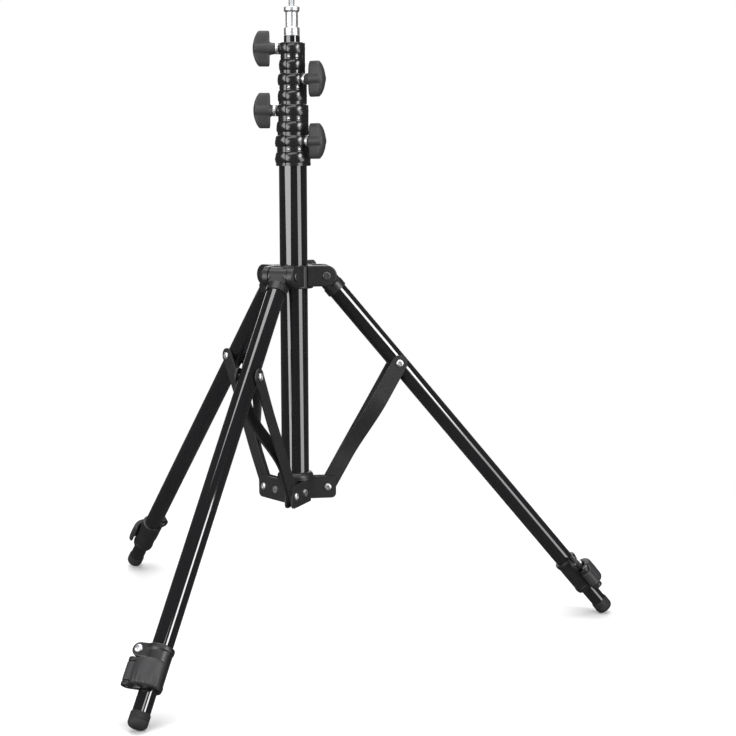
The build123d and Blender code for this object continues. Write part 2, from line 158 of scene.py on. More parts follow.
class Finish:
    """A material with a Principled shader, and the nodes that vary it."""

    def __init__(self, name, colour, roughness, **uniform):
        self.material = bpy.data.materials.new(name)
        self.material.use_nodes = True
        self.tree = self.material.node_tree
        self.shader = self.tree.nodes["Principled BSDF"]
        self.shader.inputs["Base Color"].default_value = (*colour, 1)
        self.shader.inputs["Roughness"].default_value = roughness
        for socket, value in uniform.items():
            self.shader.inputs[socket.replace("_", " ")].default_value = value

    def node(self, kind, settings=None, inputs=None):
        node = self.tree.nodes.new(kind)
        for name, value in (settings or {}).items():
            setattr(node, name, value)
        for key, value in (inputs or {}).items():
            self.put(node.inputs[key], value)
        return node

    def put(self, socket, value):
        if isinstance(value, Signal):
            self.tree.links.new(value.socket, socket)
        else:
            socket.default_value = value

    def set(self, **inputs):
        for name, value in inputs.items():
            self.put(self.shader.inputs[name.replace("_", " ")], value)

    def vector(self, operation, inputs):
        return self.node("ShaderNodeVectorMath", {"operation": operation}, inputs)

    def place(self, stretch=(1, 1, 1)):
        """The piece's own coordinates, stretched along its axes."""
        spot = Signal(self, self.node("ShaderNodeTexCoord").outputs["Object"])
        return Signal(self, self.vector("MULTIPLY", {0: spot, 1: stretch}).outputs[0])

    def drawn_along(self, axis, share):
        """The piece's own coordinates, with lengths along an axis cut to a share of themselves."""
        spot = self.place()
        dot = self.vector("DOT_PRODUCT", {0: spot, 1: axis})
        taken = Signal(self, dot.outputs["Value"]) * (1 - share)
        cut_off = self.vector("SCALE", {0: axis, "Scale": taken})
        inputs = {0: spot, 1: Signal(self, cut_off.outputs[0])}
        return Signal(self, self.vector("SUBTRACT", inputs).outputs[0])

    def noise(self, scale, detail=3.0, stretch=(1, 1, 1), rough=0.5, spot=None):
        inputs = {"Vector": spot or self.place(stretch), "Scale": scale, "Detail": detail}
        inputs["Roughness"] = rough
        node = self.node("ShaderNodeTexNoise", None, inputs)
        return Signal(self, node.outputs[0])

    def cells(self, scale, stretch=(1, 1, 1)):
        inputs = {"Vector": self.place(stretch), "Scale": scale}
        node = self.node("ShaderNodeTexVoronoi", None, inputs)
        return Signal(self, node.outputs["Distance"])

    def edges(self, radius):
        """1 on the piece's sharp edges, 0 on its flat faces."""
        soft = self.node("ShaderNodeBevel", {"samples": 4}, {"Radius": radius})
        hard = self.node("ShaderNodeNewGeometry")
        inputs = {
            0: Signal(self, soft.outputs["Normal"]),
            1: Signal(self, hard.outputs["Normal"]),
        }
        dot = self.vector("DOT_PRODUCT", inputs)
        return (1 - Signal(self, dot.outputs["Value"])).between(0.03, 0.28)

    def tint(self, factor, first, second):
        """One colour fading to another; both are colours or earlier tints."""
        inputs = {0: factor, 6: self.colour(first), 7: self.colour(second)}
        node = self.node("ShaderNodeMix", {"data_type": "RGBA"}, inputs)
        return Signal(self, node.outputs[2])

    def colour(self, value):
        return value if isinstance(value, Signal) else (*value, 1)

    def relief(self, height, distance, strength):
        inputs = {"Height": height, "Distance": distance, "Strength": strength}
        node = self.node("ShaderNodeBump", None, inputs)
        self.set(Normal=Signal(self, node.outputs["Normal"]))


def shade_scaled(colour, factor):
    return tuple(min(1.0, part * factor) for part in colour)


# --- Finishes ---
def tube_coat(colours, axis=(0, 0, 1)):
    """Gloss black coat with faint orange peel and fine rub marks along the tube."""
    coat = Finish("tube_coat", colours.tube, 0.06, IOR=1.75)
    rubs = coat.noise(900, 2, spot=coat.drawn_along(axis, 0.012)).between(0.62, 0.8)
    haze = coat.noise(14, 4)
    peel = coat.noise(320, 2)
    pale = shade_scaled(colours.tube, 2.4)
    coat.set(Base_Color=coat.tint(haze * 0.5 + rubs * 0.3, colours.tube, pale))
    coat.set(Roughness=0.035 + haze * 0.03 + rubs * 0.1)
    coat.relief(peel + rubs * 0.3, 0.006 * MM, 0.4)
    return coat.material


def moulded_plastic(colours):
    """Semi-gloss moulded nylon with a fine spark texture."""
    plastic = Finish("moulded_plastic", colours.moulding, 0.3, IOR=1.6)
    spark = plastic.noise(2600, 3)
    cloud = plastic.noise(60, 4)
    edge = plastic.edges(0.6 * MM)
    pale = shade_scaled(colours.moulding, 2.6)
    plastic.set(Base_Color=plastic.tint(cloud * 0.4 + edge * 0.5, colours.moulding, pale))
    plastic.set(Roughness=0.13 + cloud * 0.12 + edge * 0.08)
    plastic.relief(spark, 0.012 * MM, 0.4)
    return plastic.material


def satin_plastic(colours):
    """The duller moulded nylon of the hub, the eyes, the ring and the leg clamps."""
    plastic = Finish("satin_plastic", colours.satin, 0.4, IOR=1.5)
    spark = plastic.noise(1900, 4)
    cloud = plastic.noise(70, 4)
    edge = plastic.edges(0.7 * MM)
    pale = shade_scaled(colours.satin, 2.4)
    plastic.set(Base_Color=plastic.tint(cloud * 0.45 + edge * 0.5, colours.satin, pale))
    plastic.set(Roughness=0.34 + cloud * 0.12 - edge * 0.06)
    plastic.relief(spark, 0.03 * MM, 0.5)
    return plastic.material


def grip_plastic(colours):
    """Dark grey glass-filled plastic, stippled, a little polished on its edges."""
    grip = Finish("grip_plastic", colours.grip, 0.45, IOR=1.5)
    stipple = grip.noise(1500, 4)
    cloud = grip.noise(90, 4)
    edge = grip.edges(0.8 * MM)
    worn = edge * grip.noise(300, 3).between(0.35, 0.7)
    body = grip.tint(cloud, shade_scaled(colours.grip, 0.8), shade_scaled(colours.grip, 1.25))
    grip.set(Base_Color=grip.tint(worn * 0.7, body, shade_scaled(colours.grip, 2.4)))
    grip.set(Roughness=0.52 - worn * 0.16 + stipple * 0.06)
    grip.relief(stipple, 0.07 * MM, 0.6)
    return grip.material


def glide_plastic(colours):
    """Plain acetal of the hidden bushes, with faint turning marks."""
    glide = Finish("glide_plastic", colours.glide, 0.4)
    rings = glide.noise(1800, 2, (0.02, 0.02, 1))
    glide.set(Roughness=0.34 + rings * 0.16)
    glide.relief(rings, 0.02 * MM, 0.5)
    return glide.material


def powder_coat(colours):
    """Matt powder coat: pebbled skin, chips to bare steel on its edges."""
    coat = Finish("powder_coat", colours.powder, 0.5, IOR=1.5)
    pebble = coat.cells(950) * 0.6 + coat.noise(1700, 3) * 0.8
    cloud = coat.noise(45, 5)
    speckle = coat.noise(820, 3).between(0.5, 0.72)
    chips = coat.edges(0.5 * MM) * coat.noise(520, 4).between(0.55, 0.68)
    body = coat.tint(cloud, shade_scaled(colours.powder, 0.7), shade_scaled(colours.powder, 1.9))
    body = coat.tint(speckle * 0.6, body, shade_scaled(colours.powder, 3.6))
    coat.set(Base_Color=coat.tint(chips * 0.8, body, shade_scaled(colours.steel, 0.45)))
    coat.set(Roughness=0.5 + pebble * 0.1 + cloud * 0.06)
    coat.set(Metallic=chips * 0.8)
    coat.relief(pebble - chips * 0.5, 0.09 * MM, 0.55)
    return coat.material


def bright_steel(colours):
    """Zinc-plated steel with fine turning lines and a dulled patch here and there."""
    steel = Finish("bright_steel", colours.steel, 0.25, Metallic=1.0)
    lines = steel.noise(1400, 2, (1, 1, 0.15))
    dull = steel.noise(240, 4).between(0.5, 0.75)
    steel.set(Base_Color=steel.tint(dull * 0.5, colours.steel, shade_scaled(colours.steel, 0.6)))
    steel.set(Roughness=0.36 + lines * 0.1 + dull * 0.12)
    steel.relief(lines, 0.02 * MM, 0.5)
    return steel.material


def black_oxide(colours):
    """Blackened steel of the hub's bolts, rubbed bright on its edges."""
    steel = Finish("black_oxide", colours.oxide, 0.4, Metallic=1.0)
    edge = steel.edges(0.4 * MM) * steel.noise(500, 3).between(0.4, 0.7)
    grain = steel.noise(900, 4)
    steel.set(Base_Color=steel.tint(edge * 0.6, colours.oxide, shade_scaled(colours.steel, 0.5)))
    steel.set(Roughness=0.32 + grain * 0.16)
    steel.relief(grain, 0.02 * MM, 0.5)
    return steel.material


def chrome_plate(colours):
    """Turned and plated brass: satin bright, with fine lathe rings and a few rub marks."""
    chrome = Finish("chrome_plate", colours.chrome, 0.2, Metallic=1.0)
    rings = chrome.noise(1500, 2, (0.02, 0.02, 1))
    rubs = chrome.noise(420, 3, (1, 1, 0.1)).between(0.58, 0.7)
    chrome.set(Base_Color=chrome.tint(rubs * 0.4, colours.chrome, shade_scaled(colours.chrome, 0.7)))
    chrome.set(Roughness=0.36 + rings * 0.08 + rubs * 0.12)
    chrome.relief(rings, 0.01 * MM, 0.6)
    return chrome.material


def foot_rubber(colours):
    """Matt rubber, dusty where it has stood on floors."""
    rubber = Finish("foot_rubber", colours.rubber, 0.75, IOR=1.45)
    grain = rubber.noise(1100, 4)
    smear = rubber.noise(130, 5).between(0.5, 0.75)
    rubber.set(Base_Color=rubber.tint(smear * 0.07, colours.rubber, colours.dust))
    rubber.set(Roughness=0.66 + grain * 0.2)
    rubber.relief(grain, 0.06 * MM, 0.7)
    return rubber.material


FINISH_MAKERS = {
    "tube_black": tube_coat,
    "moulded_black": moulded_plastic,
    "grip_plastic": grip_plastic,
    "glide_plastic": glide_plastic,
    "powder_coat": powder_coat,
    "bright_steel": bright_steel,
    "dark_steel": black_oxide,
    "chrome_spigot": chrome_plate,
    "rubber_foot": foot_rubber,
}
SLOTS = {part["node"]: part["material_slot"] for part in frame["record"]["subparts"]}
SATIN_NODES = ("hub", "column_ring", "leg_eye_", "leg_clamp_")
finishes = {}


def finish_for(node, axis=None):
    """The material of a node's slot, made on first use. A tube's rub marks run along its axis."""
    colours = bpy.context.scene.stand_colours
    slot = SLOTS[node]
    satin = slot == "moulded_black" and node.startswith(SATIN_NODES)
    key = ("satin" if satin else slot, tuple(axis or ()))
    if key not in finishes:
        if satin:
            finishes[key] = satin_plastic(colours)
        elif axis:
            finishes[key] = tube_coat(colours, tuple(axis))
        else:
            finishes[key] = FINISH_MAKERS[slot](colours)
    return finishes[key]


def finish_node(name):
    """Gives a CAD node the finish of its slot."""
    node = frame["nodes"][name]
    node.data.materials.clear()
    node.data.materials.append(finish_for(name))


# --- Mesh building ---
def mesh_object(name, build):
    """A mesh object whose shape a function draws into a bmesh."""
    mesh = bpy.data.meshes.new(name)
    draft = bmesh.new()
    build(draft)
    bmesh.ops.recalc_face_normals(draft, faces=draft.faces)
    draft.to_mesh(mesh)
    draft.free()
    piece = bpy.data.objects.new(name, mesh)
    bpy.context.scene.collection.objects.link(piece)
    return piece


def skin(draft, rings, closed=False):
    """Faces between rings of vertices. An open row of rings gets a cap at each end."""
    pairs = list(zip(rings, rings[1:]))
    if closed:
        pairs.append((rings[-1], rings[0]))
    for ring, following in pairs:
        count = len(ring)
        for index in range(count):
            after = (index + 1) % count
            draft.faces.new((ring[index], ring[after], following[after], following[index]))
    if not closed:
        draft.faces.new(reversed(rings[0]))
        draft.faces.new(rings[-1])


def lathe(profile, segments, closed=False):
    """A turned shape from (radius, height) points, about the Z axis."""

    def build(draft):
        rings = []
        for radius, height in profile:
            turns = [2 * pi * step / segments for step in range(segments)]
            ring = [draft.verts.new((radius * cos(t), radius * sin(t), height)) for t in turns]
            rings.append(ring)
        skin(draft, rings, closed)

    return build


def rounded(profile_corners, radius, steps=4):
    """Replaces each inner corner of a (radius, height) outline with a small arc."""
    points = [profile_corners[0]]
    for before, corner, after in zip(profile_corners, profile_corners[1:], profile_corners[2:]):
        here = Vector(corner)
        back = Vector(before) - here
        ahead = Vector(after) - here
        cut = min(radius, back.length * 0.45, ahead.length * 0.45)
        start = here + back.normalized() * cut
        end = here + ahead.normalized() * cut
        for step in range(steps + 1):
            share = step / steps
            near = start.lerp(here, share)
            far = here.lerp(end, share)
            points.append(tuple(near.lerp(far, share)))
    points.append(profile_corners[-1])
    return points


def extruded(outline, low, high):
    """A prism from an (x, z) outline, between two values of y."""

    def build(draft):
        rings = []
        for across in (low, high):
            rings.append([draft.verts.new((x, across, z)) for x, z in outline])
        skin(draft, rings)

    return build


def rectangle(left, right, bottom, top):
    return [(left, bottom), (right, bottom), (right, top), (left, top)]


def squared_circle(spin, power):
    """A point of a unit circle, pushed out towards its square by a low power."""
    x, y = cos(spin), sin(spin)
    return abs(x) ** power * (1 if x >= 0 else -1), abs(y) ** power * (1 if y >= 0 else -1)


def settle(piece):
    """Applies a piece's modifiers to its mesh."""
    bpy.context.view_layer.update()
    graph = bpy.context.evaluated_depsgraph_get()
    mesh = bpy.data.meshes.new_from_object(piece.evaluated_get(graph))
    piece.modifiers.clear()
    piece.data = mesh
    return piece


def joined(name, pieces):
    """One object from several, each at its own place."""
    draft = bmesh.new()
    for piece in pieces:
        start = len(draft.verts)
        draft.from_mesh(piece.data)
        draft.verts.ensure_lookup_table()
        bmesh.ops.transform(draft, matrix=piece.matrix_world, verts=draft.verts[start:])
        bpy.data.objects.remove(piece)
    mesh = bpy.data.meshes.new(name)
    draft.to_mesh(mesh)
    draft.free()
    whole = bpy.data.objects.new(name, mesh)
    bpy.context.scene.collection.objects.link(whole)
    return whole


def moulded(name, shapes, grain, smoothing):
    """Closed shapes melted into one soft-edged moulding."""
    whole = joined(name, shapes)
    remesh = whole.modifiers.new("melt", "REMESH")
    remesh.mode = "VOXEL"
    remesh.voxel_size = grain
    soften = whole.modifiers.new("soften", "CORRECTIVE_SMOOTH")
    soften.factor = 0.7
    soften.iterations = smoothing
    soften.use_only_smooth = True
    return settle(whole)


def cut(piece, tool):
    """Takes one closed shape out of another."""
    carve = piece.modifiers.new("carve", "BOOLEAN")
    carve.operation = "DIFFERENCE"
    carve.solver = "EXACT"
    carve.object = tool
    settle(piece)
    bpy.data.objects.remove(tool)
    return piece


def placed(piece, matrix):
    piece.matrix_world = matrix @ piece.matrix_world
    return piece


def turn(angle, axis):
    return Matrix.Rotation(radians(angle), 4, axis)


def shift(x=0.0, y=0.0, z=0.0):
    return Matrix.Translation((x, y, z))


def rod(name, radius, start, end, soft=0.0, segments=48):
    profile = [(ON_AXIS, start), (radius, start), (radius, end), (ON_AXIS, end)]
    if soft:
        profile = rounded(profile, soft)
    return mesh_object(name, lathe(profile, segments))


def show(piece, body, node, crease=32, axis=None):
    """Hands a finished piece to its body, in place of its CAD node."""
    piece.data.transform(piece.matrix_world)
    piece.matrix_world = Matrix()
    piece.data.materials.clear()
    piece.data.materials.append(finish_for(node, axis))
    piece.data.shade_smooth()
    piece.data.set_sharp_from_angle(angle=radians(crease))
    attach(piece, body)
    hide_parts(node)
    return piece


# --- Places read from the frame ---
def joint_place(name):
    return Vector(JOINTS[name]["pos_m"])


def brace_reach():
    """How far down a leg its brace's pin sits from the hub's pivot."""
    return (joint_place("hub_level") - joint_place("leg_swing_front")).length


def leg_matrix(leg):
    """From the hub pivot: X up and out, Y clockwise round the stand, Z down the leg."""
    pin = joint_place(f"leg_swing_{leg}")
    down = Vector(JOINTS[f"leg_extend_{leg}"]["axis"])
    across = -Vector(JOINTS[f"leg_swing_{leg}"]["axis"])
    origin = pin - down * brace_reach()
    up_and_out = across.cross(down)
    matrix = Matrix((up_and_out, across, down)).transposed().to_4x4()
    matrix.translation = origin
    return matrix


def knob_matrix(joint):
    """Origin on the column's axis at the knob's height, X out along its stud, Z up."""
    out = -Vector(JOINTS[joint]["axis"])
    up = Vector((0, 0, 1))
    matrix = Matrix((out, up.cross(out), up)).transposed().to_4x4()
    matrix.translation = (0, 0, JOINTS[joint]["pos_m"][2])
    return matrix


def local_span(name, matrix):
    """Lowest and highest corner of a CAD node in a piece's own coordinates."""
    back = matrix.inverted()
    spots = [back @ vertex.co for vertex in frame["nodes"][name].data.vertices]
    low = Vector([min(spot[axis] for spot in spots) for axis in range(3)])
    high = Vector([max(spot[axis] for spot in spots) for axis in range(3)])
    return low, high


# --- Tubes ---
COLUMN_TUBES = {"base_tube": "column", **{f"riser_{n}": f"riser_{n}" for n in (1, 2, 3, 4)}}
CLAMPED_BY = {"base_tube": "knob_turn_1", **{f"riser_{n}": f"knob_turn_{n + 1}" for n in (1, 2, 3)}}
TUBE_WALL = 1.2 * MM
KNOB_HOLE = 3.3 * MM


def tube_piece(name, radius, start, end):
    """A drawn tube with eased ends."""
    ease = 0.3 * MM
    inner = radius - TUBE_WALL
    profile = [
        (inner, start + ease),
        (inner + ease, start),
        (radius - ease, start),
        (radius, start + ease),
        (radius, end - ease),
        (radius - ease, end),
        (inner + ease, end),
        (inner, end - ease),
    ]
    return mesh_object(name, lathe(profile, 96, closed=True))


class STAND_OT_tubes(bpy.types.Operator):
    """Draws the column's five tubes and the legs' outer and lower tubes"""

    bl_idname = "stand.tubes"
    bl_label = "Tubes"

    def execute(self, context):
        for node, body in COLUMN_TUBES.items():
            low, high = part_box(node)
            radius = (high.x - low.x) / 2
            piece = tube_piece(f"{node}_drawn", radius, low.z, high.z)
            if node in CLAMPED_BY:
                across = knob_matrix(CLAMPED_BY[node]) @ turn(90, "Y")
                piece = cut(piece, placed(rod("knob_hole", KNOB_HOLE, 0, 30 * MM), across))
            show(piece, body, node)
        for leg in LEGS:
            matrix = leg_matrix(leg)
            for part, body in (("leg_tube", f"leg_{leg}"), ("lower_tube", f"lower_leg_{leg}")):
                node = f"{part}_{leg}"
                low, high = local_span(node, matrix)
                piece = tube_piece(f"{node}_drawn", high.x, low.z, high.z)
                show(placed(piece, matrix), body, node, axis=matrix.col[2].xyz)
        return {"FINISHED"}


# --- Collars, hub, eyes and the ring above the spreader ---
class STAND_OT_mouldings(bpy.types.Operator):
    """Finishes the collars, the hub and its bolts, the legs' eyes and the spreader's ring"""

    bl_idname = "stand.mouldings"
    bl_label = "Mouldings"

    def execute(self, context):
        names = [f"collar_{number}" for number in (1, 2, 3, 4)]
        names += ["hub", "hub_bolts", "column_ring"]
        names += [f"leg_eye_{leg}" for leg in LEGS]
        for name in names:
            finish_node(name)
        return {"FINISHED"}


class STAND_OT_glides(bpy.types.Operator):
    """Finishes the bushes and the plug inside the column"""

    bl_idname = "stand.glides"
    bl_label = "Glides"

    def execute(self, context):
        for name in ["base_plug"] + [f"riser_bush_{number}" for number in (1, 2, 3, 4)]:
            finish_node(name)
        return {"FINISHED"}


BAR_THICKNESS = 2.0 * MM
BAR_WIDTH = 16.4 * MM
BAR_TOGETHER = 1.3 * MM
BAR_APART = 10.8 * MM
BEND_START = 36.0 * MM
BEND_END = 108.0 * MM
BRACE_HOLE = 2.55 * MM


def brace_bar(side, length, offset):
    """One pressed bar along Z: round ends, a smooth bend and edges eased by the press."""
    end_round = BAR_WIDTH / 2
    ease = 0.35 * MM
    low = offset + side * BAR_TOGETHER

    def build(draft):
        rings = []
        steps = 120  # closest together at the round ends
        for step in range(steps + 1):
            share = (1 - cos(pi * step / steps)) / 2
            along = -end_round + (length + BAR_WIDTH) * share
            past = max(-along, along - length, 0.0)
            half_width = max(end_round**2 - past**2, 0.25 * MM**2) ** 0.5
            climb = min(1.0, max(0.0, (along - BEND_START) / (BEND_END - BEND_START)))
            climb = climb * climb * (3 - 2 * climb)
            middle = low + (side * BAR_APART - low) * climb
            ring = []
            for across, out in ((-1, -1), (1, -1), (1, 1), (-1, 1)):
                for in_depth in (1, 0) if across == out else (0, 1):
                    x = across * (half_width - ease * (1 - in_depth))
                    y = middle + out * (BAR_THICKNESS / 2 - ease * in_depth)
                    ring.append(draft.verts.new((x, y, along)))
            rings.append(ring)
        skin(draft, rings)

    return mesh_object("bar", build)


def brace_piece(leg):
    """A leg's two bars, from the spreader's pivot to the pin, with the pins' holes."""
    across = Vector(JOINTS[f"leg_swing_{leg}"]["axis"])
    pin = joint_place(f"leg_swing_{leg}")
    pivot = joint_place(f"fold_{leg}")
    offset = (pivot - pin).dot(across)
    foot = pivot - across * offset
    length = (pin - foot).length
    up = (pin - foot) / length
    matrix = Matrix((across.cross(up), across, up)).transposed().to_4x4()
    matrix.translation = foot
    bars = []
    for side in (1, -1):
        bar = brace_bar(side, length, offset)
        for along in (0, length):
            hole = rod("hole", BRACE_HOLE, -30 * MM, 30 * MM)
            bar = cut(bar, placed(hole, shift(z=along) @ turn(90, "X")))
        bars.append(bar)
    return placed(joined(f"brace_{leg}_pressed", bars), matrix)


class STAND_OT_braces(bpy.types.Operator):
    """Presses the braces' bars and finishes the spreader's plates"""

    bl_idname = "stand.braces"
    bl_label = "Braces and spreader"

    def execute(self, context):
        for leg in LEGS:
            show(brace_piece(leg), f"brace_{leg}", f"brace_{leg}")
            finish_node(f"spreader_plate_{leg}")
        return {"FINISHED"}


# --- Knobs ---
KNOBS = {f"knob_turn_{number}": f"knob_{number}" for number in (1, 2, 3, 4)}
KNOBS["hub_knob_turn"] = "hub_knob"
KNOB_THICKNESS = 8.4 * MM
KNOB_BORE = 3.05 * MM
STUD_RADIUS = 3.0 * MM
FERRULE_RADIUS = 5.6 * MM
FERRULE_LENGTH = 2.6 * MM


def knob_head(name, inner, outer, height, thickness, swell):
    """The T of a knob: flat towards the column, bowed outside, thinner at its tips."""

    def build(draft):
        rings = []
        levels = 25
        around = 28
        for level in range(levels):
            share = 2 * level / (levels - 1) - 1
            tip = (1 - abs(share) ** 12) ** 0.5 if abs(share) < 1 else 0.0
            tip = max(tip, 0.55)
            rise = share * height / 2
            bow = outer - (outer - inner) * 0.32 * share**2
            middle = (inner + bow) / 2
            half_depth = (bow - inner) / 2 * (0.75 + 0.25 * tip)
            half_width = (thickness / 2 + swell * (1 - share**2) - 0.9 * MM * share**2) * tip
            ring = []
            for step in range(around):
                spin = 2 * pi * step / around
                x, y = squared_circle(spin, 0.42)
                ring.append(draft.verts.new((middle + half_depth * x, half_width * y, rise)))
            rings.append(ring)
        skin(draft, rings)

    return mesh_object(name, build)


def knob_piece(node, joint):
    """A whole knob in its own coordinates: T head, barrel and tapered stem, with its blind bore."""
    sizes = bpy.context.scene.stand_sizes
    matrix = knob_matrix(joint)
    low, high = local_span(node, matrix)
    stem_start = low.x
    outer = high.x
    inner = outer - (13.0 if joint == "hub_knob_turn" else 17.0) * MM
    height = high.z - low.z
    head = knob_head("head", inner, outer, height, KNOB_THICKNESS, sizes.knob_swell)
    stem = 5.5 * MM
    barrel_end = outer - 1.2 * MM
    profile = [
        (ON_AXIS, stem_start),
        (stem, stem_start),
        (stem, stem_start + 0.8 * MM),
        (6.2 * MM, inner),
        (6.9 * MM, inner + 2 * MM),
        (6.4 * MM, barrel_end),
        (ON_AXIS, barrel_end),
    ]
    barrel = mesh_object("barrel", lathe(rounded(profile, 1.4 * MM), 48))
    placed(barrel, turn(90, "Y"))
    piece = moulded(node + "_moulded", [head, barrel], sizes.mould_grain, 3)
    bore = rod("bore", KNOB_BORE, stem_start - 2 * MM, outer - 6 * MM)
    return placed(cut(piece, placed(bore, turn(90, "Y"))), matrix)


def stud_piece(node, joint):
    """Steel stud with a waisted bright ferrule."""
    matrix = knob_matrix(joint)
    low, high = local_span(node, matrix)
    stem_start = local_span(KNOBS[joint], matrix)[0].x
    start = stem_start - FERRULE_LENGTH
    end = start + FERRULE_LENGTH
    profile = [
        (ON_AXIS, low.x),
        (STUD_RADIUS - 0.5 * MM, low.x),
        (STUD_RADIUS, low.x + 0.6 * MM),
        (STUD_RADIUS, start),
        (FERRULE_RADIUS, start),
        (FERRULE_RADIUS, end),
        (STUD_RADIUS, end),
        (STUD_RADIUS, high.x),
        (ON_AXIS, high.x),
    ]
    piece = mesh_object(node + "_turned", lathe(rounded(profile, 0.35 * MM), 48))
    return placed(piece, matrix @ turn(90, "Y"))


class STAND_OT_knobs(bpy.types.Operator):
    """Moulds the five T-knobs and turns their studs and ferrules"""

    bl_idname = "stand.knobs"
    bl_label = "T-knobs"

    def execute(self, context):
        for joint, body in KNOBS.items():
            stud = body.replace("knob", "knob_stud")
            stud_end = stud_piece(stud, joint)
            show(knob_piece(body, joint), body, body)
            show(stud_end, body, stud)
        return {"FINISHED"}


# --- Spigot ---
def threaded(name, radius, depth, pitch, start, end):
    """A plain-ended screw thread about Z."""

    def build(draft):
        around = 40
        steps_a_turn = 10
        steps = int((end - start) / pitch * steps_a_turn)
        rings = []
        for step in range(steps + 1):
            height = start + (end - start) * step / steps
            fade = min(1.0, (height - start) / pitch, (end - height) / pitch)
            ring = []
            for corner in range(around):
                spin = 2 * pi * corner / around
                wave = abs(((height / pitch - corner / around) % 1.0) * 2 - 1)
                reach = radius - depth * (1 - wave * fade)
                ring.append(draft.verts.new((reach * cos(spin), reach * sin(spin), height)))
            rings.append(ring)
        skin(draft, rings)

    return mesh_object(name, build)


class STAND_OT_spigot(bpy.types.Operator):
    """Turns the chrome spigot, with its neck, flange and threaded stud"""

    bl_idname = "stand.spigot"
    bl_label = "Spigot"

    def execute(self, context):
        sizes = context.scene.stand_sizes
        low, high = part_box("spigot")
        tube_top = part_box("riser_4")[1].z
        radius = (high.x - low.x) / 2
        neck = radius * 0.786
        shoulder = tube_top + 8.0 * MM
        flange = shoulder + 16.5 * MM
        crown = flange + 3.9 * MM
        shank = radius - 1.2 * MM
        profile = [
            (ON_AXIS, low.z),
            (shank, low.z),
            (shank, tube_top),
            (radius, tube_top),
            (radius, shoulder),
            (neck, shoulder + 1.2 * MM),
            (neck, flange - 1.2 * MM),
            (radius, flange),
            (radius, crown),
            (2.6 * MM, crown + 0.05 * MM),
            (ON_AXIS, crown + 0.05 * MM),
        ]
        body = mesh_object("body", lathe(rounded(profile, 0.6 * MM), 96))
        stud = 3.175 * MM
        root = crown - 0.5 * MM
        depth, pitch = sizes.thread_depth, sizes.thread_pitch
        thread = threaded("thread", stud, depth, pitch, root, high.z)
        show(joined("spigot_turned", [body, thread]), "riser_4", "spigot")
        return {"FINISHED"}


# --- Fasteners ---
PIN_RADIUS = 2.5 * MM
HEAD_RADIUS = 4.0 * MM
COLLAR_HEAD_RADIUS = 1.4 * MM
COLLAR_HEAD_HEIGHT = 1.3 * MM
PLATE_HALF = 4.4 * MM  # from a spreader plate's middle to its face
RIVET_BACK = 21.7 * MM  # from a spreader bolt back to its rivet
EAR_ALONG = 404.0 * MM  # a leg clamp's screw, down the leg and out from it
EAR_OUT = 16.4 * MM
LEVER_SPAN = (412.6 * MM, 438.6 * MM)  # a leg clamp's knuckles, down the leg


def ear_matrix():
    """At a leg clamp's screw, with Z across the clamp's ear."""
    return shift(0, EAR_OUT, EAR_ALONG) @ turn(90, "Y")


def screw_head(name, radius, height, drive):
    """A domed head standing on z = 0, with a cross or hexagon recess."""
    profile = [
        (ON_AXIS, -0.15 * MM),
        (radius * 0.96, -0.15 * MM),
        (radius, height * 0.15),
        (radius * 0.93, height * 0.6),
        (radius * 0.7, height * 0.9),
        (radius * 0.35, height),
        (ON_AXIS, height),
    ]
    head = mesh_object(name, lathe(rounded(profile, height * 0.25, 3), 40))
    if drive == "hexagon":
        key = rod("key", radius * 0.5, height * 0.35, height * 2, segments=6)
        return cut(head, key)
    blade = radius * 0.16
    arm = radius * 0.62
    foot = arm * 0.7
    floor = height * 0.3
    outline = [(-arm, height * 2), (-foot, floor), (foot, floor), (arm, height * 2)]
    for quarter in (0, 90):
        blade_tool = mesh_object("blade", extruded(outline, -blade, blade))
        head = cut(head, placed(blade_tool, turn(quarter, "Z")))
    return head


class STAND_OT_screws(bpy.types.Operator):
    """Makes the small cross-head screws of the collars"""

    bl_idname = "stand.screws"
    bl_label = "Collar screws"

    def execute(self, context):
        for number, body in enumerate(("column", "riser_1", "riser_2", "riser_3"), 1):
            node = f"collar_screws_{number}"
            heads = []
            for place, out in screw_places(node):
                head = screw_head("head", COLLAR_HEAD_RADIUS, COLLAR_HEAD_HEIGHT, "cross")
                shank = rod("shank", 1.2 * MM, -2.2 * MM, -0.2 * MM)
                whole = joined("screw", [head, shank])
                heads.append(placed(whole, aimed(place, out)))
            show(joined(f"{node}_turned", heads), body, node)
        return {"FINISHED"}


def aimed(place, out):
    """A matrix at a place, with Z along a direction."""
    matrix = out.to_track_quat("Z", "Y").to_matrix().to_4x4()
    matrix.translation = place
    return matrix


def islands(node):
    """The separate shells of a CAD node, as lists of places."""
    mesh = frame["nodes"][node].data
    draft = bmesh.new()
    draft.from_mesh(mesh)
    bmesh.ops.remove_doubles(draft, verts=draft.verts, dist=0.001 * MM)
    left = set(draft.verts)
    groups = []
    while left:
        stack = [left.pop()]
        group = []
        while stack:
            vertex = stack.pop()
            group.append(vertex.co.copy())
            for edge in vertex.link_edges:
                other = edge.other_vert(vertex)
                if other in left:
                    left.remove(other)
                    stack.append(other)
        groups.append(group)
    draft.free()
    return groups


def screw_places(node):
    """Where each small screw's head seats, and the direction it points."""
    for group in sorted(islands(node), key=lambda spots: spots[0].x):
        centre = sum(group, Vector()) / len(group)
        out = Vector((centre.x, centre.y, 0)).normalized()
        reach = max(spot.x * out.x + spot.y * out.y for spot in group)
        seat = reach - COLLAR_HEAD_HEIGHT
        height = (max(spot.z for spot in group) + min(spot.z for spot in group)) / 2
        yield Vector((out.x * seat, out.y * seat, height)), out


